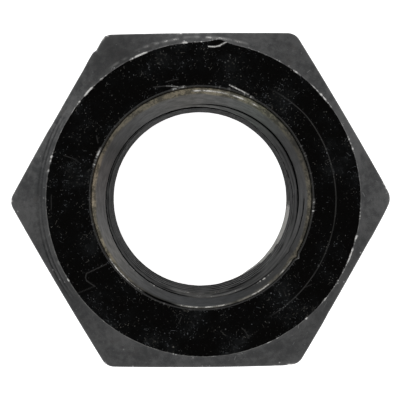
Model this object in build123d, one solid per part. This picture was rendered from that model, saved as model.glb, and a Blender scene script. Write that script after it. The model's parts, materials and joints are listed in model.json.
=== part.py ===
from build123d import *
from build123d.topology import SkipClean
import math
import os

# Driving dimensions, in millimetres and degrees. +Z runs up the thread axis,
# the lower bearing face lies on Z = 0 and two of the flats face +Y and -Y.
across_flats = 16.0
height = 8.4
corner_radius = 0.65

bearing_diameter = 15.1
chamfer_angle = 30.0

thread_diameter = 10.0
thread_pitch = 1.25
minor_diameter = 8.9
thread_start_angle = 7.0

countersink_diameter = 10.78
countersink_angle = 90.0

# The bore wall is made as this many equal arcs.
bore_arcs = 12

# How far tools run past the nut, and how far the groove tool reaches into
# the open bore.
overrun = 1.0
groove_reach = 0.3

# Values that follow from the driving dimensions.
thread_radius = thread_diameter / 2
minor_radius = minor_diameter / 2
half_cone = math.radians(countersink_angle / 2)
flank_slope = math.tan(math.radians(30))


def hexagon_prism():
    """The hexagonal body with rounded corners."""
    outline = RegularPolygon(across_flats / 2, 6, major_radius=False)
    outline = fillet(outline.vertices(), corner_radius)
    return extrude(outline, height)


def turned_envelope():
    """The barrel that leaves a chamfered, round bearing face at each end."""
    face_radius = bearing_diameter / 2
    rim_radius = across_flats / 2 / math.cos(math.radians(30)) + overrun
    drop = (rim_radius - face_radius) * math.tan(math.radians(chamfer_angle))
    profile = Polyline(
        (0, 0, 0),
        (face_radius, 0, 0),
        (rim_radius, 0, drop),
        (rim_radius, 0, height - drop),
        (face_radius, 0, height),
        (0, 0, height),
        close=True,
    )
    return revolve(make_face(profile), Axis.Z)


def countersink(end_height, outward):
    """The cone that opens the bore at one end of the nut."""
    mouth_radius = countersink_diameter / 2
    widen = overrun * math.tan(half_cone)
    depth = mouth_radius / math.tan(half_cone)
    profile = Polyline(
        (0, 0, end_height - outward * depth),
        (mouth_radius + widen, 0, end_height + outward * overrun),
        (0, 0, end_height + outward * overrun),
        close=True,
    )
    return revolve(make_face(profile), Axis.Z)


def bore_sector(index):
    """One arc of the plain bore, as a wedge of a cylinder."""
    arc = 360 / bore_arcs
    wedge = Cylinder(
        minor_radius,
        height + 2 * overrun,
        arc_size=arc,
        align=(Align.NONE, Align.NONE, Align.MIN),
    )
    return Pos(0, 0, -overrun) * Rot(0, 0, index * arc) * wedge


def groove_profile(root_height):
    """The thread groove's section in the XZ plane, reaching into the bore."""
    inner_radius = minor_radius - groove_reach
    root_half = thread_pitch / 16
    mouth_half = root_half + (thread_radius - inner_radius) * flank_slope
    profile = Polyline(
        (inner_radius, 0, root_height - mouth_half),
        (thread_radius, 0, root_height - root_half),
        (thread_radius, 0, root_height + root_half),
        (inner_radius, 0, root_height + mouth_half),
        close=True,
    )
    return make_face(profile)


def groove_turn(start):
    """One full right-hand turn of the thread groove, rising from start."""
    path = Pos(0, 0, start) * Helix(thread_pitch, thread_pitch, thread_radius)
    turn = sweep(groove_profile(start), path=path, is_frenet=True)
    return Rot(0, 0, thread_start_angle) * turn


def thread_turns():
    """The turns of groove that cover the nut, placed by its upper run-out."""
    cone_depth = (countersink_diameter - thread_diameter) / 2 / math.tan(half_cone)
    top_start = height - cone_depth + thread_pitch / 16
    turns_below = math.ceil(top_start / thread_pitch)
    lowest = groove_turn(top_start - turns_below * thread_pitch)
    rises = range(turns_below + 1)
    return [Pos(0, 0, rise * thread_pitch) * lowest for rise in rises]


def build_hex_nut():
    """The finished nut; its faces stay as cut, so the bore keeps its arcs."""
    nut = hexagon_prism() & turned_envelope()
    tools = [bore_sector(index) for index in range(bore_arcs)]
    tools += thread_turns()
    tools += [countersink(height, 1), countersink(0, -1)]
    with SkipClean():
        for tool in tools:
            nut -= tool
    return nut


os.makedirs("parts", exist_ok=True)
hex_nut = build_hex_nut()
hex_nut.label = "hex_nut"
export_step(hex_nut, "parts/hex_nut.step")
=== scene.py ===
import json
import math

import bpy
import numpy as np
from mathutils import Matrix, Vector


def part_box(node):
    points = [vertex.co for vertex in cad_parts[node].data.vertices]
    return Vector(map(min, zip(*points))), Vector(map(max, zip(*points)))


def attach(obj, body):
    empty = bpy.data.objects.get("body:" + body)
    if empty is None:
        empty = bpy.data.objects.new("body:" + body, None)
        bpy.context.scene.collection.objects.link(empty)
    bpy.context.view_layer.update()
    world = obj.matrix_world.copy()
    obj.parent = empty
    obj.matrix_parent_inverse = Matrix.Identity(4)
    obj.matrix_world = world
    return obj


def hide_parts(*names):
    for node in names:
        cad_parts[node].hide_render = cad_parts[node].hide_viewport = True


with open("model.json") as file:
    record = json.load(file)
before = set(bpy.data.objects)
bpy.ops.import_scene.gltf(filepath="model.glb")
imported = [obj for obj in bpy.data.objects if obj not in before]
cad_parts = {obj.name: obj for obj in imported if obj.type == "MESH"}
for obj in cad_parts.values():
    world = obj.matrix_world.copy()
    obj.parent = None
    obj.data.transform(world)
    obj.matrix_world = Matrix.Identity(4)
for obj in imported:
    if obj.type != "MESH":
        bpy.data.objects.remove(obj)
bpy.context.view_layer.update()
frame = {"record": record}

# ---------------------------------------------------------------------------
# Sizes in millimetres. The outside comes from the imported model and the
# thread's crest radius from its mount. The rest repeats the model's design.
# "Clock" angles are in degrees, clockwise from the +X corner, seen from above.
# ---------------------------------------------------------------------------
MM = 0.001
low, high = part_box("hex_nut")
HEIGHT = (high[2] - low[2]) / MM
HALF_FLATS = (high[1] - low[1]) / 2 / MM
THREAD = next(m for m in frame["record"]["mounts"] if m["name"] == "thread")
CREST_RADIUS = THREAD["dims"]["r_mm"]
ROOT_RADIUS = 5.0
PITCH = 1.25
ROOT_HALF = PITCH / 16
CORNER_RADIUS = 0.65
BEARING_RADIUS = 7.51
MOUTH_RADIUS = 5.34
CHAMFER_SLOPE = math.tan(math.radians(30))
FLANK_SLOPE = math.tan(math.radians(30))

# The tap's run-out: the clock angle and radius where the groove opens in the
# countersink. Its upper flank rises by RUNOUT_SLOPE for each mm of radius down
# to RUNOUT_DEPTH below the top, which is steeper than FLANK_SLOPE further down.
# RUNOUT_EASE is how fast the groove fades out past its start.
RUNOUT_CLOCK = -7
RUNOUT_RADIUS = 4.95
RUNOUT_SLOPE = 0.8
RUNOUT_DEPTH = 1.9
RUNOUT_EASE = 12.0

# How far the painted shade in the gap under the rim moves outwards for each mm further down.
GAP_DRAFT = 0.042

# The bore stops MOUTH_GAP below the upper face and starts MOUTH_GAP above the
# lower one. The lip of each mouth starts LIP from its face, so the skin doubles
# back on itself by the difference, 0.02 mm, at both mouths.
MOUTH_GAP = 0.03
LIP = 0.05

# The skin's mesh: columns round the nut, and rows for each stretch. The bore's
# rows are (height below the top where they start, how many), closest together
# over the top turn of the thread.
COLUMNS = 1080
BORE_ROWS = ((HEIGHT - MOUTH_GAP, 150), (2.4, 130), (1.1, 70))
FACE_ROWS = 80
CHAMFER_ROWS = 32
SIDE_ROWS = 42
PHI = np.arange(COLUMNS) * 2 * np.pi / COLUMNS
CLOCK = -np.degrees(PHI) % 360


# ---------------------------------------------------------------------------
# Small helpers for uneven metal, seeded where they are random. All but eased()
# give one value per column.
# ---------------------------------------------------------------------------
def clock_gap(degrees):
    """Signed degrees from one clock angle."""
    return (CLOCK - degrees + 180) % 360 - 180


def around(degrees, half_width):
    """A soft bump centred at one clock angle, 0 to 1."""
    return np.exp(-((clock_gap(degrees) / half_width) ** 2))


def span(first, last, soft=4.0):
    """1 between two clock angles, fading over soft degrees at both ends."""
    gap = np.abs(clock_gap((first + last) / 2))
    return np.clip(((last - first) / 2 - gap) / soft + 0.5, 0, 1)


def ring_noise(seed, first, last, fall=0.5):
    """Smooth noise round the nut, about -1 to 1, from waves first to last."""
    rng = np.random.default_rng(seed)
    waves = np.arange(first, last + 1)
    size = waves.astype(float) ** -fall
    turn = rng.uniform(0, 2 * np.pi, len(waves))
    noise = (size[:, None] * np.cos(np.outer(waves, PHI) + turn[:, None])).sum(0)
    return noise / np.abs(noise).max()


def chips(seed, amount, places=()):
    """Ragged chips along an edge, 0 where whole and up to 1 where hit.

    places lists (clock, spread, more) for stretches that are hit more."""
    hit = 0.8 * ring_noise(seed, 5, 90, 0.5) + 0.40 * ring_noise(seed + 500, 90, 300, 0.1)
    dense = amount + sum(more * around(clock, spread) for clock, spread, more in places)
    return np.clip((hit + dense) * 1.6, 0, 0.8)


def circle_from(offset_x, offset_y, radius):
    """Distance from the nut's axis to a circle that is slightly off it."""
    off = math.hypot(offset_x, offset_y)
    turn = PHI - math.atan2(offset_y, offset_x)
    return off * np.cos(turn) + np.sqrt(radius**2 - (off * np.sin(turn)) ** 2)


def eased(count):
    """0 to 1, closer together near both ends."""
    return 0.5 - 0.5 * np.cos(np.linspace(0, np.pi, count))


# ---------------------------------------------------------------------------
# The nut's outlines.
# ---------------------------------------------------------------------------
def hexagon_radius():
    """The rounded hexagon, flats facing +Y and -Y."""
    turn = (PHI - math.radians(30)) % math.radians(60)
    from_flat = np.minimum(turn, math.radians(60) - turn)
    flat = HALF_FLATS / np.cos(from_flat)
    corner = (HALF_FLATS - CORNER_RADIUS) / math.cos(math.radians(30))
    off = math.radians(30) - from_flat
    root = CORNER_RADIUS**2 - (corner * np.sin(off)) ** 2
    arc = corner * np.cos(off) + np.sqrt(np.maximum(root, 0))
    limit = math.atan2((HALF_FLATS - CORNER_RADIUS) * math.tan(math.radians(30)), HALF_FLATS)
    return np.where(from_flat > limit, np.minimum(arc, flat), flat)


def groove_radius(z):
    """How far out the thread groove reaches at every height and angle."""
    open_rise = ROOT_HALF + (ROOT_RADIUS - RUNOUT_RADIUS) * RUNOUT_SLOPE
    top = HEIGHT - (MOUTH_RADIUS - RUNOUT_RADIUS) - open_rise
    reach = np.zeros((len(z), COLUMNS))
    for turn in range(-1, math.ceil(HEIGHT / PITCH) + 1):
        turned = turn + (CLOCK - RUNOUT_CLOCK) % 360 / 360
        rise = z[:, None] - (top - PITCH * turned)
        upper = np.where(z > HEIGHT - RUNOUT_DEPTH, RUNOUT_SLOPE, FLANK_SLOPE)[:, None]
        slope = np.where(rise > 0, upper, FLANK_SLOPE)
        wall = ROOT_RADIUS - np.maximum(0, np.abs(rise) - ROOT_HALF) / slope
        wall = wall - RUNOUT_EASE * np.maximum(0, 0.01 - turned)
        reach = np.maximum(reach, wall)
    return reach


# ---------------------------------------------------------------------------
# The closed skin. Each row is a ring of points; each point has a radius, a
# height and the paint values that the materials read.
# ---------------------------------------------------------------------------
# Paints, in order: bare metal together with painted highlights and reflections; grime together with
# painted shade; patina; the countersink's share; wear together with painted light on edges and in the
# thread's groove.
PAINTS = ("bare", "grime", "patina", "cone", "worn")


class Skin:
    def __init__(self):
        self.rings = []
        self.zones = []

    def add(self, zone, radius, z, **paint):
        values = [radius, z] + [paint.get(name, 0.0) for name in PAINTS]
        self.rings.append([np.broadcast_to(v, PHI.shape).astype(float) for v in values])
        self.zones.append(zone)


def bore_heights():
    """The heights of the bore's rows, from the lower mouth to the upper one."""
    ends = [below for below, _ in BORE_ROWS[1:]] + [0]
    parts = []
    for (below, count), end in zip(BORE_ROWS, ends):
        parts.append(np.linspace(HEIGHT - below, HEIGHT - end, count, endpoint=False))
    return np.concatenate(parts)


def bore_lines(radius, crest, cone, near_top, fold_path):
    """Fine turning lines inside the fold and on the open flank below it."""
    wander = 1.5 * ring_noise(14, 1, 9)
    lines = 0.5 + 0.5 * np.sin(radius * 2 * np.pi / 0.125 + wander)
    lines = lines * (0.6 + 0.4 * np.sin(radius * 2 * np.pi / 0.29 - 2 * wander))
    lined = (radius < fold_path - 0.04) * span(285, 380, 8) + (1 - cone) * span(-5, 118, 12)
    lines = lines * np.clip(lined, 0, 1) * near_top
    return lines * np.clip((radius - crest - 0.03) / 0.05, 0, 1)


def bore_rings(skin, mouth):
    """The bore from its lower mouth to the upper one."""
    heights = bore_heights()
    level = heights[:, None]
    crest = CREST_RADIUS - 0.07 * (1 - level / HEIGHT) + 0.006 * ring_noise(11, 3, 60)
    # The first crest is pushed in over part of the turn, below the fold.
    crest = crest - 0.06 * span(262, 348, 16) * np.clip((level - HEIGHT + 1.4) / 0.3, 0, 1)
    groove = groove_radius(heights)
    upper = mouth - (HEIGHT - level) + 0.004 * ring_noise(12, 20, 200, 0.2)
    lower = MOUTH_RADIUS + 0.02 - level
    thread = np.maximum(crest, groove)
    radius = np.maximum(thread, np.maximum(upper, lower))
    cone = (upper > thread).astype(float)
    deep = np.clip((thread - crest) / 0.12, 0, 1) * (1 - cone) * (lower < thread)
    near_top = np.clip((level - HEIGHT + 2.3) / 0.3, 0, 1)

    def crease(path, width, where):
        return np.exp(-(((radius - path) / width) ** 2)) * where * near_top

    # Painted shade: the dark gap right under the rim, followed down the bore at a slight draft.
    rim = np.where(cone > 0, radius, 9).min(0)
    drafted = radius - GAP_DRAFT * (HEIGHT - level - (mouth - rim))
    gap = np.exp(-(((drafted - rim + 0.02) / 0.034) ** 2)) * (1 - cone) * (level > HEIGHT - 4.5)
    blotches = span(290, 350, 8) * np.clip(0.5 + 1.2 * ring_noise(8, 8, 60, 0.1), 0, 1)
    gap = gap * (0.50 + 0.50 * np.maximum(span(112, 282, 20), blotches))
    gap = gap * (0.85 + 0.15 * ring_noise(10, 8, 90, 0.1))
    # A crease, taken to be where the thread's feather edge was folded over: a small step in the
    # surface, with painted shade along it.
    fold_path = 4.585 + 0.09 * np.clip(clock_gap(300) / 45 + 0.6, 0, 1) - 0.03 * span(350, 390, 20)
    shaded_fold = crease(fold_path, 0.030 + 0.014 * span(292, 368, 20), span(268, 374, 22))
    shaded_fold = shaded_fold * (0.9 + 0.1 * ring_noise(13, 5, 40))
    lines = bore_lines(radius, crest, cone, near_top, fold_path)
    ridge = crease(4.585, 0.022, span(62, 118, 12))
    # Painted shade on the edges of the turns below, where they are seen almost edge on.
    edge_on_shade = np.exp(-(((thread - crest - 0.05) / 0.04) ** 2)) * (1 - cone)
    edge_on_shade = edge_on_shade * np.clip(0.45 + 0.8 * ring_noise(7, 3, 40), 0, 1)

    # The yellowed band on the countersink, with two bright streaks in it.
    patina_edge = 5.04 + 0.05 * ring_noise(15, 2, 25) - 0.06 * around(155, 35)
    patina = np.clip((radius - patina_edge) / 0.09, 0, 1) * cone
    streak = crease(5.16, 0.030, span(123, 152, 3)) + crease(5.235, 0.035, span(266, 301, 3))
    streak = streak * np.clip(0.55 + 0.9 * ring_noise(16, 6, 70, 0.15), 0, 1)
    # A painted reflection of the bright floor on the lower turns' crests, and painted glints on the
    # rim and flank.
    crest_reflection_top = 4.7 - 3.4 * np.clip(clock_gap(14) / 60, 0, 1) + 0.35 * ring_noise(9, 4, 60)
    crest_reflection = span(5, 76, 8) * np.clip((crest_reflection_top - level) / 0.5, 0, 1) * (1 - deep)
    glints = (around(52, 4) + 0.7 * around(118, 3) + 0.5 * around(135, 3)) * cone
    rim_band = np.exp(-(((radius - rim) / 0.035) ** 2)) * near_top
    glints = glints * rim_band * np.clip(0.4 + ring_noise(17, 60, 300, 0.1) * 2, 0, 1)
    for path, first, last in ((4.50, 76, 108), (4.59, 84, 104), (4.68, 66, 96), (4.77, 74, 100)):
        ripple = 0.5 + 0.5 * ring_noise(int(100 * path), 8, 60, 0.2)
        glints = glints + 0.4 * crease(path, 0.030, span(first, last, 8)) * ripple * (1 - cone)
    # A painted shadow in the thin groove just inside the mouth, and a painted highlight beside it
    # where it is lit.
    from_mouth = HEIGHT - level
    lit = span(36, 104, 6)
    mouth_groove_shade = np.exp(-(((from_mouth - 0.085 + 0.04 * lit) / 0.028) ** 2))
    lip_highlight = lit * np.clip(0.7 + 0.9 * ring_noise(36, 5, 80, 0.2), 0.1, 1) * (1 - around(72, 4))
    lip_highlight = 0.55 * lip_highlight * np.exp(-(((from_mouth - 0.115) / 0.028) ** 2))
    # One short, dark, oily stretch of the mouth.
    pool = around(113, 11) * np.clip((radius - 4.98) / 0.15, 0, 1) * cone

    radius = radius + 0.05 * shaded_fold + 0.004 * lines + 0.01 * ridge + 0.008 * mouth_groove_shade
    radius = radius + 0.006 * patina * ring_noise(18, 60, 400, 0.1)
    # Painted shade joins the grime, and the painted reflection and highlights join the bare metal.
    grime = 1.5 * shaded_fold + 0.45 * lines + 0.8 * ridge + 1.5 * gap + 1.2 * mouth_groove_shade + 0.8 * pool
    grime = np.clip(grime + 0.8 * edge_on_shade, 0, 1)
    bare = np.clip(0.75 * streak + 0.9 * crest_reflection + glints + lip_highlight, 0, 1) * (1 - pool)
    # deep also goes in as wear, to paint the thread's groove lighter against the shade in it.
    for i in np.flatnonzero(heights < HEIGHT - MOUTH_GAP):
        skin.add("bore", radius[i], np.minimum(heights[i], HEIGHT - MOUTH_GAP), bare=bare[i],
                 grime=grime[i], patina=patina[i], cone=cone[i], worn=deep[i])


def end_rings(skin, outline, top, details):
    """One end of the nut, from the mouth out to the flats.

    top is +1 for the upper end and -1 for the lower one, and details holds
    the end's own edges, chips and scratches."""
    level = HEIGHT if top > 0 else 0.0
    mouth, lip = details["mouth"], details["lip"]
    bearing, nick = details["bearing"], details["nick"]
    side, worn_edge = outline, details["edge"]
    rows = []

    # A small rounded lip where the countersink meets the face, painted dark as shade along the mouth
    # and bare where flecked.
    for t in np.linspace(0, 1, 5):
        turn = t * math.pi / 4
        out = lip * (math.sin(math.pi / 4) - math.sin(math.pi / 4 - turn)) / math.sin(math.pi / 4)
        drop = lip * (1 - t) ** 2
        rows.append(("face", mouth - lip * (1 - t) + out * 0.4, drop, dict(
            bare=details["lip_bare"] * (0.25 + 0.75 * t), worn=0.3,
            grime=details["lip_shade"] * (0.8 if t < 0.3 else 0.5))))

    # The bearing face.
    bevel = 0.020 + 0.012 * nick
    start = mouth + 0.4 * lip
    stop = bearing - bevel
    for t in np.linspace(0, 1, FACE_ROWS)[1:]:
        radius = start + (stop - start) * t
        marks = details["marks"](radius)
        edge_wear = np.exp(-(radius - start) / 0.20) + 0.3 * np.exp(-(stop - radius) / 0.06)
        chipped = np.clip(nick - (stop - radius) / (0.005 + 0.012 * nick), 0, 0.5)
        flecked = 0.7 * details["flecks"] * np.clip(1 - (radius - start) / 0.07, 0, 1)
        chipped = np.maximum(chipped, flecked)
        rows.append(("face", radius, 0.002 + 0.010 * marks + 0.012 * chipped, dict(
            bare=np.maximum(marks, chipped), worn=np.clip(0.10 + 0.5 * edge_wear, 0, 1))))

    # A narrow bevel, wider and bare where the edge is chipped.
    for t in np.linspace(0, 1, 5)[1:]:
        radius = stop + bevel * 1.7 * t
        rows.append(("chamfer", radius, 0.002 + bevel * 0.55 * t * t, dict(
            bare=details["edge_line"] + 0.75 * nick, worn=0.5)))

    # The chamfer, with the shallow ledges that turning left on one side. The ledges are painted dark
    # as shade, and a highlight is painted along the chamfer's outer edge, stronger where it is worn.
    edge_start = stop + bevel * 1.7
    edge_drop = 0.002 + bevel * 0.55
    round_off = 0.09 + 0.05 * worn_edge
    end_radius = side - round_off
    for t in eased(CHAMFER_ROWS)[1:]:
        radius = edge_start + (end_radius - edge_start) * t
        drop = edge_drop + (radius - edge_start) * CHAMFER_SLOPE
        ledge = details["ledge"](radius)
        near_rim = np.exp(-(end_radius - radius) / 0.18)
        near_face = np.exp(-(radius - edge_start) / 0.10)
        chipped = np.clip(nick - (radius - edge_start) / (0.02 + 0.05 * nick), 0, 0.6)
        rows.append(("chamfer", radius, drop + ledge, dict(
            bare=np.maximum(chipped, details["polish"](radius)), grime=np.clip(ledge / 0.05, 0, 0.5),
            worn=np.clip(0.10 + 0.6 * near_rim * (0.4 + worn_edge) + 0.5 * near_face, 0, 1))))

    # The rounded, worn edge between the chamfer and the flats, painted lighter as a highlight and
    # flecked where it is worn.
    base = edge_drop + (end_radius - edge_start) * CHAMFER_SLOPE
    for t in np.linspace(0, 1, 6)[1:]:
        turn = t * math.pi / 2
        rows.append(("chamfer", end_radius + round_off * math.sin(turn),
                     base + round_off * (0.5 * t + 1.2 * (1 - math.cos(turn))), dict(
            bare=np.clip((worn_edge - 0.45) * 1.8, 0, 1) * math.sin(turn), worn=0.9)))

    for zone, radius, drop, paint in rows if top > 0 else rows[::-1]:
        skin.add(zone, radius, level - top * drop, **paint)
    return base + 1.7 * round_off


# ---------------------------------------------------------------------------
# The scratches on the upper face, in millimetres from the thread's axis, each
# with its strength and half width.
# ---------------------------------------------------------------------------
ARC_RADIUS = 6.44
SCRATCHES = [
    (0.055, 0.026, [(-4.53, -3.00), (-5.49, -3.44), (-5.53, -3.62), (-5.49, -3.78), (-5.08, -4.06)]),
    (0.75, 0.032, [(0.43, 7.33), (0.72, 7.31), (0.94, 7.36), (1.32, 7.56)]),
    (0.50, 0.036, [(1.42, 5.48), (2.03, 5.17), (2.31, 5.03)]),
    (0.34, 0.026, [(-1.60, 5.46), (-1.30, 5.45), (-0.98, 5.41)]),
    (0.06, 0.026, [(-2.21, 5.41), (-1.90, 5.44), (-1.60, 5.46)]),
    (0.05, 0.024, [(-1.63, 5.65), (-1.30, 5.74), (-1.04, 5.78)]),
    (0.045, 0.026, [(-4.94, 3.12), (-4.87, 2.78)]),
    (0.04, 0.024, [(-6.51, 2.20), (-6.20, 2.10), (-5.90, 1.96)]),
    (0.035, 0.024, [(-7.13, 0.32), (-7.13, -0.36)]),
    (0.03, 0.026, [(-6.10, -4.45), (-5.10, -4.05)]),
    (0.05, 0.024, [(-1.10, -5.85), (-0.98, -5.55)]),
    (0.04, 0.024, [(1.90, -6.10), (2.10, -6.32), (2.22, -6.60)]),
    (0.03, 0.024, [(4.90, -4.20), (5.25, -4.05)]),
]


def stroke_mask(x, y, points, half_width):
    """1 on a line through the points, fading to 0 at its half width."""
    nearest = np.full(x.shape, np.inf)
    for (ax, ay), (bx, by) in zip(points, points[1:]):
        length = (bx - ax) ** 2 + (by - ay) ** 2
        along = np.clip(((x - ax) * (bx - ax) + (y - ay) * (by - ay)) / length, 0, 1)
        gap = np.hypot(x - ax - along * (bx - ax), y - ay - along * (by - ay))
        nearest = np.minimum(nearest, gap)
    return np.clip(1.3 - nearest / half_width, 0, 1)


def upper_marks(radius):
    x, y = radius * np.cos(PHI), radius * np.sin(PHI)
    path = ARC_RADIUS - 0.20 * np.clip(-(clock_gap(0) + 38) / 20, 0, 1)
    arc = np.clip(1.3 - np.abs(radius - path) / 0.026, 0, 1) * span(-54, 57, 10)
    marks = 0.07 * arc * (0.8 + 0.4 * ring_noise(21, 3, 40))
    for strength, half_width, points in SCRATCHES:
        marks = np.maximum(marks, strength * stroke_mask(x, y, points, half_width))
    return marks


def lower_marks(radius):
    x, y = radius * np.cos(PHI), radius * np.sin(PHI)
    arc = np.clip(1.3 - np.abs(radius - 6.9) / 0.03, 0, 1) * span(120, 200, 12)
    cut = stroke_mask(x, y, [(3.9, -4.6), (4.6, -3.9), (5.6, -3.5)], 0.03)
    return np.maximum(0.2 * arc, 0.4 * cut)


def left_ledge(radius):
    """Two shallow turning lines beside the face, round the -X corner."""
    where = span(146, 212, 12)
    first = np.exp(-(((radius - 7.60 - 0.03 * ring_noise(22, 2, 12)) / 0.035) ** 2))
    second = np.exp(-(((radius - 7.76 - 0.04 * ring_noise(23, 2, 12)) / 0.040) ** 2))
    return where * (0.026 * first + 0.032 * second)


def upper_polish(radius):
    """Where the narrow part of the chamfer, beside the +Y flat, is rubbed bright."""
    flat = span(252, 286, 14) * np.exp(-(((radius - 7.78 - 0.06 * ring_noise(24, 3, 30)) / 0.05) ** 2))
    corner = around(240, 3) * np.exp(-(((radius - 7.66) / 0.05) ** 2))
    patchy = np.clip(0.45 + 1.6 * ring_noise(25, 8, 120, 0.1), 0, 1.3)
    return np.clip((0.45 * flat + 0.22 * corner) * patchy, 0, 1)


def upper_end():
    bearing = circle_from(0.12, 0.05, BEARING_RADIUS)
    bearing = bearing + 0.012 * ring_noise(31, 3, 40) + 0.006 * ring_noise(32, 40, 200, 0.2)
    bearing = bearing + 0.15 * around(277, 3.2)
    nick = chips(33, -0.40, [(6, 8, 0.50), (20, 6, 0.65), (36, 6, 0.40), (62, 14, 0.05),
                             (92, 6, 0.02), (190, 10, 0.25), (222, 12, 0.50), (246, 7, 0.65),
                             (270, 10, 0.40), (318, 22, 0.30)])
    edge = chips(34, -0.45, [(62, 6, 0.50), (120, 8, 0.35), (240, 5, 0.9), (268, 10, 0.55),
                             (28, 8, 0.45), (300, 5, 0.3), (180, 4, 0.5), (0, 6, 0.2)])
    mouth = circle_from(0.03, 0.12, MOUTH_RADIUS) + 0.008 * ring_noise(35, 4, 40)
    mouth = mouth + 0.10 * around(31, 1.3)
    edge_line = 0.05 + 0.30 * np.clip(0.25 + ring_noise(38, 6, 120, 0.2), 0, 1)
    flecks = chips(37, -0.45, [(202, 8, 0.6), (229, 4, 0.6), (245, 10, 0.3), (292, 10, 0.5),
                               (5, 10, 0.5)])
    lip_bare = np.clip(0.05 + 0.75 * flecks + 0.2 * around(31, 1.3), 0, 1)
    return dict(mouth=mouth, lip=np.full(COLUMNS, LIP), bearing=bearing, nick=nick, edge=edge,
                lip_bare=lip_bare, lip_shade=np.ones(COLUMNS), flecks=flecks,
                edge_line=edge_line, marks=upper_marks,
                ledge=left_ledge, polish=upper_polish)


def lower_end():
    bearing = circle_from(-0.06, 0.04, BEARING_RADIUS) + 0.012 * ring_noise(41, 3, 40)
    bearing = bearing + 0.006 * ring_noise(42, 40, 200, 0.2)
    nick = chips(43, -0.36, [(140, 18, 0.4), (300, 14, 0.4), (40, 10, 0.3)])
    edge = chips(44, -0.45, [(0, 6, 0.4), (120, 6, 0.4), (300, 6, 0.4)])
    mouth = circle_from(-0.02, 0.03, MOUTH_RADIUS) + 0.008 * ring_noise(45, 4, 40)
    flecks = chips(47, -0.45)
    return dict(mouth=mouth, lip=np.full(COLUMNS, LIP), bearing=bearing, nick=nick, edge=edge,
                lip_bare=np.clip(0.3 + 0.7 * flecks, 0, 1), lip_shade=np.full(COLUMNS, 0.8),
                flecks=flecks, edge_line=0.08,
                marks=lower_marks, ledge=plain, polish=plain)


def plain(radius):
    """No ledge or polish at this end."""
    return np.zeros(COLUMNS)


def corner_wear(z):
    """Dents in the flats' upper ends and corners, as depths at one height."""
    from_top = HEIGHT - z
    fade = np.clip(1.6 - from_top / 1.3, 0, 1)
    dent = 0.11 * np.clip(1.7 - np.abs(clock_gap(237.1)) / 1.7, 0, 1) * fade
    hollow = 0.02 * span(206, 230, 3) * np.clip(1.3 - from_top / 3, 0, 1)
    rub = 0.02 * span(14, 44, 3) * np.clip(1.3 - from_top / 3, 0, 1)
    knock = 0.03 * np.clip(1.3 - np.abs(clock_gap(61.5)) / 2.0, 0, 1) * fade
    blunt = 0.045 * around(0, 3.0) * fade
    return dent + hollow + rub + knock + blunt


def side_rings(skin, outline, top, bottom):
    """The six flats, between the rounded edges of the two chamfers."""
    for t in eased(SIDE_ROWS)[1:-1]:
        z = top + (bottom - top) * t
        wave = 0.010 * (1 - np.cos(t * 2 * np.pi)) * (0.5 + 0.5 * ring_noise(51, 3, 30))
        drawn = 0.0035 * (1 + ring_noise(52, 60, 300, 0.1))
        corner = np.exp(-(((CLOCK % 60 + 30) % 60 - 30) / 3.5) ** 2)
        away = wave * (1 - corner) + drawn * (1 - corner) + corner_wear(z)
        skin.add("side", outline - away, z, worn=np.clip(0.12 + 0.6 * corner, 0, 1))


def nut_skin():
    skin = Skin()
    outline = hexagon_radius()
    upper, lower = upper_end(), lower_end()
    bore_rings(skin, upper["mouth"])
    top_drop = end_rings(skin, outline - corner_wear(HEIGHT - 0.6), 1, upper)
    floor_skin = Skin()
    low_rise = end_rings(floor_skin, outline, -1, lower)
    side_rings(skin, outline, HEIGHT - top_drop, low_rise)
    skin.rings += floor_skin.rings
    skin.zones += floor_skin.zones
    return np.array(skin.rings), skin.zones


# ---------------------------------------------------------------------------
# Colour round the nut. The lists say how light each surface is at every 30
# degrees of the clock, from 0: partly the metal's own uneven tone and partly
# painted light and shade where the studio light falls more or less on it. The
# stains on the countersink are soft shifts of colour, as (clock, spread, RGB).
# ---------------------------------------------------------------------------
CONE_LIGHT = [1.00, 0.45, 0.35, 0.57, 0.84, 2.10, 1.42, 0.57, 1.42, 1.78, 1.37, 0.51]
CHAMFER_LIGHT = [1.15, 0.58, 0.80, 1.05, 0.86, 0.52, 1.05, 1.95, 0.36, 1.75, 0.86, 1.22]
PATINA_LIGHT = [1.05, 0.85, 0.90, 0.70, 0.30, 1.60, 2.10, 0.95, 1.10, 1.60, 1.35, 0.34]
WALL_LIGHT = [1.28, 1.45, 1.15, 1.08, 1.02, 0.95, 0.80, 0.55, 0.90, 1.25, 0.95, 0.92]
CONE_STAINS = [
    (195, 20, (0.06, -0.03, -0.06)),
    (85, 30, (-0.06, 0.00, 0.06)),
    (305, 17, (-0.04, 0.05, -0.02)),
    (150, 14, (0.03, 0.00, -0.05)),
    (262, 16, (0.03, 0.00, -0.06)),
]


def light_round(levels, seed):
    """One lightness per column, from levels set every 30 degrees."""
    light = np.interp(CLOCK, np.arange(13) * 30, levels + levels[:1])
    return light * (1 + 0.07 * ring_noise(seed, 4, 60))


def toned(levels, seed, stains=()):
    """One colour per column: the lightness round the nut, with any stains."""
    tone = np.repeat(light_round(levels, seed)[:, None], 3, 1)
    for clock, spread, shift in stains:
        tone = tone * (1 + around(clock, spread)[:, None] * np.array(shift)[None])
    return tone


PLAIN_TONE = np.ones((COLUMNS, 3))
CHAMFER_TONE = toned(CHAMFER_LIGHT, 62)
WALL_TONE = toned(WALL_LIGHT, 63)
CONE_TONE = toned(CONE_LIGHT, 61, CONE_STAINS)
PATINA_TONE = toned(PATINA_LIGHT, 64, CONE_STAINS)


def ring_tones(zone, cone, patina):
    """The colour that multiplies a zone's own, for each column of one ring."""
    if zone != "bore":
        return CHAMFER_TONE if zone == "chamfer" else PLAIN_TONE
    cone, patina = cone[:, None], patina[:, None]
    return (1 - cone) * WALL_TONE + cone * ((1 - patina) * CONE_TONE + patina * PATINA_TONE)


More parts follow.
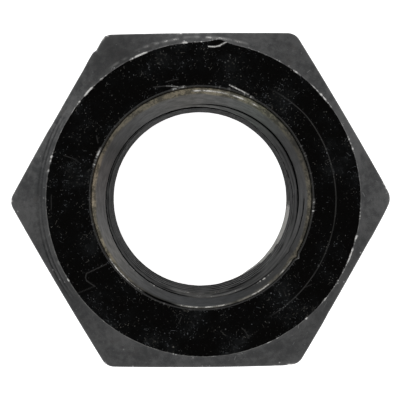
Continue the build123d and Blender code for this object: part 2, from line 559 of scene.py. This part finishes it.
def build_nut(materials):
    rings, zones = nut_skin()
    rows = len(zones)
    radius, z = rings[:, 0], rings[:, 1]
    points = np.stack([radius * np.cos(PHI), radius * np.sin(PHI), z], -1).reshape(-1, 3)
    index = np.arange(rows * COLUMNS).reshape(rows, COLUMNS)
    up = np.roll(index, -1, 0)
    # This order of corners points the skin outwards.
    quads = np.stack([index, up, np.roll(up, -1, 1), np.roll(index, -1, 1)], -1).reshape(-1, 4)
    mesh = bpy.data.meshes.new("hex_nut_visual")
    mesh.from_pydata((points * MM).tolist(), [], quads.tolist())
    for i, name in enumerate(PAINTS):
        paint = mesh.attributes.new(name, "FLOAT", "POINT")
        paint.data.foreach_set("value", rings[:, 2 + i].reshape(-1).astype(np.float32))
    tone = np.ones((rows, COLUMNS, 4), np.float32)
    cone, patina = (rings[:, 2 + PAINTS.index(name)] for name in ("cone", "patina"))
    tone[:, :, :3] = [ring_tones(*ring) for ring in zip(zones, cone, patina)]
    colour = mesh.attributes.new("tone", "FLOAT_COLOR", "POINT")
    colour.data.foreach_set("color", tone.reshape(-1))
    order = list(materials)
    for name in order:
        mesh.materials.append(materials[name])
    kinds = np.array([order.index(zone) for zone in zones[1:] + zones[-1:]])
    mesh.polygons.foreach_set("material_index", np.repeat(kinds, COLUMNS).astype(np.int32))
    mesh.polygons.foreach_set("use_smooth", np.ones(len(mesh.polygons), bool))
    mesh.update()
    nut = bpy.data.objects.new("nut_body", mesh)
    bpy.context.scene.collection.objects.link(nut)
    return nut


# ---------------------------------------------------------------------------
# Materials.
# ---------------------------------------------------------------------------
class Graph:
    """A node tree, with short calls for the nodes that are used here."""

    def __init__(self, name):
        self.material = bpy.data.materials.new(name)
        self.material.use_nodes = True
        self.nodes = self.material.node_tree.nodes
        self.links = self.material.node_tree.links
        self.shader = self.nodes["Principled BSDF"]
        coord = self.node("ShaderNodeTexCoord")
        self.place = self.vector("SCALE", coord.outputs["Object"], scale=1 / MM)

    def node(self, kind, **settings):
        made = self.nodes.new(kind)
        for name, value in settings.items():
            setattr(made, name, value)
        return made

    def put(self, socket, value):
        if isinstance(value, bpy.types.NodeSocket):
            self.links.new(value, socket)
        else:
            socket.default_value = value

    def math(self, operation, *values, clamp=False):
        made = self.node("ShaderNodeMath", operation=operation, use_clamp=clamp)
        for socket, value in zip(made.inputs, values):
            self.put(socket, value)
        return made.outputs[0]

    def vector(self, operation, *values, scale=None, output=0):
        made = self.node("ShaderNodeVectorMath", operation=operation)
        for socket, value in zip(made.inputs, values):
            self.put(socket, value)
        if scale is not None:
            self.put(made.inputs["Scale"], scale)
        return made.outputs[output]

    def noise(self, scale, detail=3.0, roughness=0.55, stretch=(1, 1, 1)):
        made = self.node("ShaderNodeTexNoise")
        self.put(made.inputs["Vector"], self.vector("MULTIPLY", self.place, stretch))
        self.put(made.inputs["Scale"], scale)
        self.put(made.inputs["Detail"], detail)
        self.put(made.inputs["Roughness"], roughness)
        return made.outputs["Fac"]

    def ramp(self, value, low, high, to_low=0.0, to_high=1.0):
        made = self.node("ShaderNodeMapRange", interpolation_type="SMOOTHSTEP")
        for name, number in (("Value", value), ("From Min", low), ("From Max", high),
                             ("To Min", to_low), ("To Max", to_high)):
            self.put(made.inputs[name], number)
        return made.outputs["Result"]

    def mix(self, factor, first, second, blend="MIX"):
        made = self.node("ShaderNodeMix", data_type="RGBA", blend_type=blend)
        self.put(made.inputs[0], factor)
        self.put(made.inputs[6], first)
        self.put(made.inputs[7], second)
        return made.outputs[2]

    def paint(self, name, output="Fac"):
        return self.node("ShaderNodeAttribute", attribute_name=name).outputs[output]

    def cells(self, scale, shift):
        """A random point in each cell: where we are from it, and two draws."""
        moved = self.vector("ADD", self.place, (shift, shift * 0.7, shift * 1.3))
        spot = self.vector("SCALE", moved, scale=scale)
        cell = self.node("ShaderNodeTexVoronoi")
        self.put(cell.inputs["Vector"], spot)
        self.put(cell.inputs["Scale"], 1.0)
        offset = self.vector("SUBTRACT", spot, cell.outputs["Position"])
        draw = self.node("ShaderNodeTexWhiteNoise")
        self.put(draw.inputs["Vector"], cell.outputs["Position"])
        return cell.outputs["Distance"], offset, cell.outputs["Color"], draw.outputs["Value"]

    def strokes(self, scale, length, width, share, shift):
        """Short tapered scratches, in the share of the cells that has one."""
        distance, offset, colour, draw = self.cells(scale, shift)
        across = self.vector("NORMALIZE", self.vector("SUBTRACT", colour, (0.5, 0.5, 0.5)))
        gap = self.math("ABSOLUTE", self.vector("DOT_PRODUCT", offset, across, output=1))
        taper = self.math("SUBTRACT", 1.0, self.math("DIVIDE", distance, length), clamp=True)
        line = self.math("SUBTRACT", 1.0, self.math("DIVIDE", gap, width), clamp=True)
        chosen = self.ramp(self.math("SUBTRACT", share, draw), 0.0, 0.12)
        line = self.math("MULTIPLY", line, self.ramp(taper, 0.0, 0.35))
        return self.math("MULTIPLY", line, chosen)

    def dots(self, scale, size, share, shift):
        """Small round pits and flecks, in the share of the cells that has one."""
        distance, _, _, draw = self.cells(scale, shift)
        spot = self.math("SUBTRACT", 1.0, self.math("DIVIDE", distance, size), clamp=True)
        chosen = self.ramp(self.math("SUBTRACT", share, draw), 0.0, 0.15)
        return self.math("MULTIPLY", self.ramp(spot, 0.0, 0.5), chosen)

    def bare(self):
        """Bare metal and painted highlights: faint marks stay whole and stronger ones are broken up.
        """
        bare = self.paint("bare")
        ragged = self.ramp(self.math("ADD", bare, self.noise(14, 2, 0.7)), 0.66, 1.10)
        return self.math("MAXIMUM", ragged, self.math("MINIMUM", bare, 0.12))

    def bump(self, height, strength, distance_mm):
        made = self.node("ShaderNodeBump")
        self.put(made.inputs["Height"], height)
        made.inputs["Strength"].default_value = strength
        made.inputs["Distance"].default_value = distance_mm * MM
        self.put(self.shader.inputs["Normal"], made.outputs["Normal"])


def grey(value, tint=(1.0, 1.0, 1.0)):
    return [value * t for t in tint] + [1.0]


COOL = (0.93, 1.0, 1.08)
WARM = (1.06, 1.0, 0.86)
BARE_STEEL = grey(0.62, (1.0, 0.99, 0.96))
# The black used for grime and for painted shade.
SOOT_AND_SHADE = grey(0.0008)


def oxide_black():
    """The bearing faces: glossy black oxide, flecked and scratched."""
    g = Graph("face_black_oxide")
    worn = g.paint("worn")
    cloud = g.ramp(g.noise(0.55, 7, 0.68), 0.40, 0.70)
    share = g.math("MULTIPLY_ADD", cloud, 0.32, g.math("MULTIPLY_ADD", worn, 0.30, 0.03))
    fine = g.dots(11.0, 0.36, g.math("MULTIPLY", share, 1.4), 3.1)
    pits = g.dots(5.0, 0.22, g.math("MULTIPLY", share, 0.8), 17.7)
    hair = g.strokes(3.4, 0.45, 0.040, g.math("MULTIPLY", share, 1.5), 8.3)
    nicks = g.strokes(7.5, 0.45, 0.10, g.math("MULTIPLY", share, 1.3), 29.9)
    marks = g.math("MAXIMUM", g.math("MULTIPLY", fine, 0.38), g.math("MULTIPLY", pits, 0.8))
    marks = g.math("MAXIMUM", marks, g.math("MULTIPLY", hair, 0.42))
    marks = g.math("MAXIMUM", marks, g.math("MULTIPLY", nicks, 0.40))
    marks = g.math("MULTIPLY", marks, g.ramp(g.noise(2.4, 3, 0.7), 0.36, 0.66, 0.35, 1.25))
    haze = g.mix(cloud, grey(0.0012, (1.15, 0.95, 0.80)), grey(0.0025, (0.80, 1.02, 1.15)))
    grain = g.ramp(g.noise(22, 2), 0.45, 0.75)
    haze = g.mix(g.math("MULTIPLY", grain, 0.35), haze, grey(0.004, COOL))
    tint = g.mix(g.ramp(g.noise(1.7, 1), 0.4, 0.6), grey(0.16, COOL), grey(0.15, WARM))
    colour = g.mix(marks, haze, tint)
    # Black where shade is painted on the mouth's lip; below, it is also made rough and metallic there
    # so it reflects nothing.
    colour = g.mix(g.paint("grime"), colour, SOOT_AND_SHADE)
    colour = g.mix(g.bare(), colour, BARE_STEEL)
    g.put(g.shader.inputs["Base Color"], colour)
    rough = g.math("MULTIPLY_ADD", marks, 0.3, g.ramp(cloud, 0, 1, 0.20, 0.30))
    g.put(g.shader.inputs["Roughness"], g.math("MAXIMUM", rough, g.paint("grime")))
    g.put(g.shader.inputs["Metallic"], g.paint("grime"))
    g.shader.inputs["IOR"].default_value = 1.55
    g.bump(g.math("SUBTRACT", g.math("MULTIPLY", grain, 0.3), marks), 0.25, 0.004)
    return g.material


def satin_black(name, stretch, lightness, contrast, seed):
    """The chamfers and flats: satin, faintly streaked, flecked at the edges."""
    g = Graph(name)
    worn = g.paint("worn")
    broad = g.noise(0.5, 2)
    streak = g.noise(3.2, 4, 0.6, stretch)
    grain = g.noise(26, 3, 0.6)
    tone = g.math("MULTIPLY_ADD", streak, 0.8, g.math("MULTIPLY", grain, 0.5))
    tone = g.math("MULTIPLY_ADD", broad, 0.7, tone)
    level = g.ramp(tone, 1 - contrast, 1 + contrast)
    colour = g.mix(level, grey(0.40 * lightness, COOL), grey(1.70 * lightness))
    colour = g.mix(1.0, colour, g.paint("tone", "Color"), "MULTIPLY")
    # Lighter where worn, and where a highlight is painted along the outer edges.
    colour = g.mix(g.math("MULTIPLY", worn, 0.35), colour, grey(2.6 * lightness))
    brown = g.math("MULTIPLY", g.ramp(g.noise(1.3, 2), 0.60, 0.78), 0.35)
    colour = g.mix(brown, colour, grey(0.9 * lightness, (1.25, 1.0, 0.85)))
    share = g.math("MULTIPLY_ADD", worn, 0.42, 0.02)
    fleck = g.dots(5.2, 0.26, share, 5.7 + seed)
    scuff = g.strokes(2.8, 0.45, 0.06, g.math("MULTIPLY", share, 1.2), 21.3 + seed)
    marks = g.math("MAXIMUM", g.math("MULTIPLY", fleck, 0.55), g.math("MULTIPLY", scuff, 0.25))
    colour = g.mix(marks, colour, grey(0.5))
    # Dark where shade is painted in the ledges.
    colour = g.mix(g.math("MULTIPLY", g.paint("grime"), 0.6), colour, SOOT_AND_SHADE)
    colour = g.mix(g.bare(), colour, BARE_STEEL)
    g.put(g.shader.inputs["Base Color"], colour)
    g.put(g.shader.inputs["Roughness"], g.ramp(tone, 0.7, 1.3, 0.50, 0.36))
    g.shader.inputs["Specular IOR Level"].default_value = 0.3
    g.bump(g.math("SUBTRACT", tone, g.math("MULTIPLY", marks, 1.5)), 0.35, 0.006)
    return g.material


def bore_steel():
    """Countersink and thread: cut steel with a thin, stained oxide."""
    g = Graph("bore_steel")
    cone, grime, patina = g.paint("cone"), g.paint("grime"), g.paint("patina")
    ring = g.noise(2.2, 3, 0.55, (1, 1, 7))
    grain = g.noise(30, 3, 0.6)
    tone = g.math("ADD", g.math("MULTIPLY", ring, 0.7), g.math("MULTIPLY", grain, 0.3))
    level = g.ramp(tone, 0.36, 0.64)
    cut = g.mix(level, grey(0.050), grey(0.085))
    cut = g.mix(1.0, cut, g.paint("tone", "Color"), "MULTIPLY")
    blotch = g.math("ADD", g.noise(7, 3, 0.65), g.noise(1.7, 2))
    blotch = g.ramp(blotch, 0.84, 1.20)
    stain = g.mix(blotch, grey(0.030, (1.15, 1.0, 0.55)), grey(0.15, (1.14, 1.0, 0.70)))
    stain = g.mix(1.0, stain, g.paint("tone", "Color"), "MULTIPLY")
    cut = g.mix(g.math("MULTIPLY", patina, 0.85), cut, stain)
    bands = g.ramp(g.noise(1.3, 3, 0.6, (0.25, 0.25, 1.0)), 0.40, 0.60)
    shade = g.math("MULTIPLY_ADD", level, 0.4, g.math("MULTIPLY", bands, 0.6))
    wall = g.mix(shade, grey(0.006), grey(0.068))
    wall = g.mix(1.0, wall, g.paint("tone", "Color"), "MULTIPLY")
    # Painted light: lighter down in the thread's groove, against the shade there.
    wall = g.mix(g.math("MULTIPLY", g.paint("worn"), 0.45), wall, grey(0.13))
    colour = g.mix(cone, wall, cut)
    # Black where shade is painted, and where there is grime.
    colour = g.mix(grime, colour, SOOT_AND_SHADE)
    bare = g.bare()
    # Light where metal is bare and where highlights and reflections are painted.
    colour = g.mix(bare, colour, grey(0.70, (1.0, 0.98, 0.93)))
    g.put(g.shader.inputs["Base Color"], colour)
    rough = g.ramp(patina, 0, 1, 0.42, 0.62)
    rough = g.math("MAXIMUM", rough, g.math("MULTIPLY_ADD", cone, -0.35, 0.75))
    rough = g.math("MAXIMUM", rough, grime)
    g.put(g.shader.inputs["Roughness"], rough)
    # Metallic black where shade is painted, so it reflects nothing.
    g.put(g.shader.inputs["Metallic"], g.math("MULTIPLY", grime, g.math("SUBTRACT", 1.0, bare)))
    g.shader.inputs["IOR"].default_value = 1.45
    g.bump(tone, 0.3, 0.006)
    return g.material


nut = build_nut({
    "bore": bore_steel(),
    "face": oxide_black(),
    "chamfer": satin_black("chamfer_black_oxide", (1, 1, 1), 0.033, 0.22, 0.0),
    "side": satin_black("flats_black_oxide", (3.5, 3.5, 0.2), 0.015, 0.42, 40.0),
})
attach(nut, "root")
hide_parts("hex_nut")


# ---------------------------------------------------------------------------
# Floor, light and camera.
# ---------------------------------------------------------------------------
FLOOR_REACH = 0.6
FLOOR_GLOW = 1.02
FLOOR_DROP = 0.00001
SURROUND_STRENGTH = 1.3
CAMERA_STAND = (-0.50, 1.32, HEIGHT + 104.4)
CAMERA_AIM = (-0.042, 0.014, HEIGHT - 0.3)
CAMERA_ROLL = -0.5
CAMERA_LENS = 197.2


def add_floor():
    z = low[2] - FLOOR_DROP
    corners = [(x * FLOOR_REACH, y * FLOOR_REACH, z) for x, y in ((-1, -1), (1, -1), (1, 1), (-1, 1))]
    mesh = bpy.data.meshes.new("floor")
    mesh.from_pydata(corners, [], [(0, 1, 2, 3)])
    floor = bpy.data.objects.new("floor", mesh)
    bpy.context.scene.collection.objects.link(floor)
    material = bpy.data.materials.new("floor_white")
    material.use_nodes = True
    shader = material.node_tree.nodes["Principled BSDF"]
    shader.inputs["Base Color"].default_value = (0.9, 0.9, 0.9, 1)
    shader.inputs["Roughness"].default_value = 0.9
    shader.inputs["Emission Color"].default_value = (1, 1, 1, 1)
    shader.inputs["Emission Strength"].default_value = FLOOR_GLOW
    mesh.materials.append(material)


def add_studio_light():
    """A soft, bright surround, with a dark ceiling that the faces mirror."""
    world = bpy.data.worlds.new("studio")
    bpy.context.scene.world = world
    world.use_nodes = True
    nodes, links = world.node_tree.nodes, world.node_tree.links
    coord = nodes.new("ShaderNodeTexCoord")
    split = nodes.new("ShaderNodeSeparateXYZ")
    ramp = nodes.new("ShaderNodeValToRGB")
    stops = ((0.0, 0.8), (0.70, 1.0), (0.86, 0.03), (1.0, 0.006))
    for position, value in stops[1:-1]:
        ramp.color_ramp.elements.new(position).color = grey(value)
    ramp.color_ramp.elements[0].color = grey(stops[0][1])
    ramp.color_ramp.elements[-1].color = grey(stops[-1][1])
    links.new(coord.outputs["Generated"], split.inputs["Vector"])
    links.new(split.outputs["Z"], ramp.inputs["Fac"])
    links.new(ramp.outputs["Color"], nodes["Background"].inputs["Color"])
    nodes["Background"].inputs["Strength"].default_value = SURROUND_STRENGTH


def add_camera():
    """Nearly straight above, a little off the axis, turned by half a degree."""
    stand = Vector(CAMERA_STAND) * MM
    aim = Vector(CAMERA_AIM) * MM
    roll = math.radians(CAMERA_ROLL)
    data = bpy.data.cameras.new("camera")
    camera = bpy.data.objects.new("camera", data)
    bpy.context.scene.collection.objects.link(camera)
    bpy.context.scene.camera = camera
    look = (aim - stand).normalized()
    right = Vector((math.cos(roll), math.sin(roll), 0))
    right = (right - look * right.dot(look)).normalized()
    upward = right.cross(look)
    axes = Matrix((right, upward, -look)).transposed()
    camera.matrix_world = Matrix.Translation(stand) @ axes.to_4x4()
    data.sensor_width = 36
    data.lens = CAMERA_LENS
    data.clip_start = 0.001
    data.clip_end = 10


add_floor()
add_studio_light()
add_camera()
bpy.context.scene.view_settings.view_transform = "Standard"
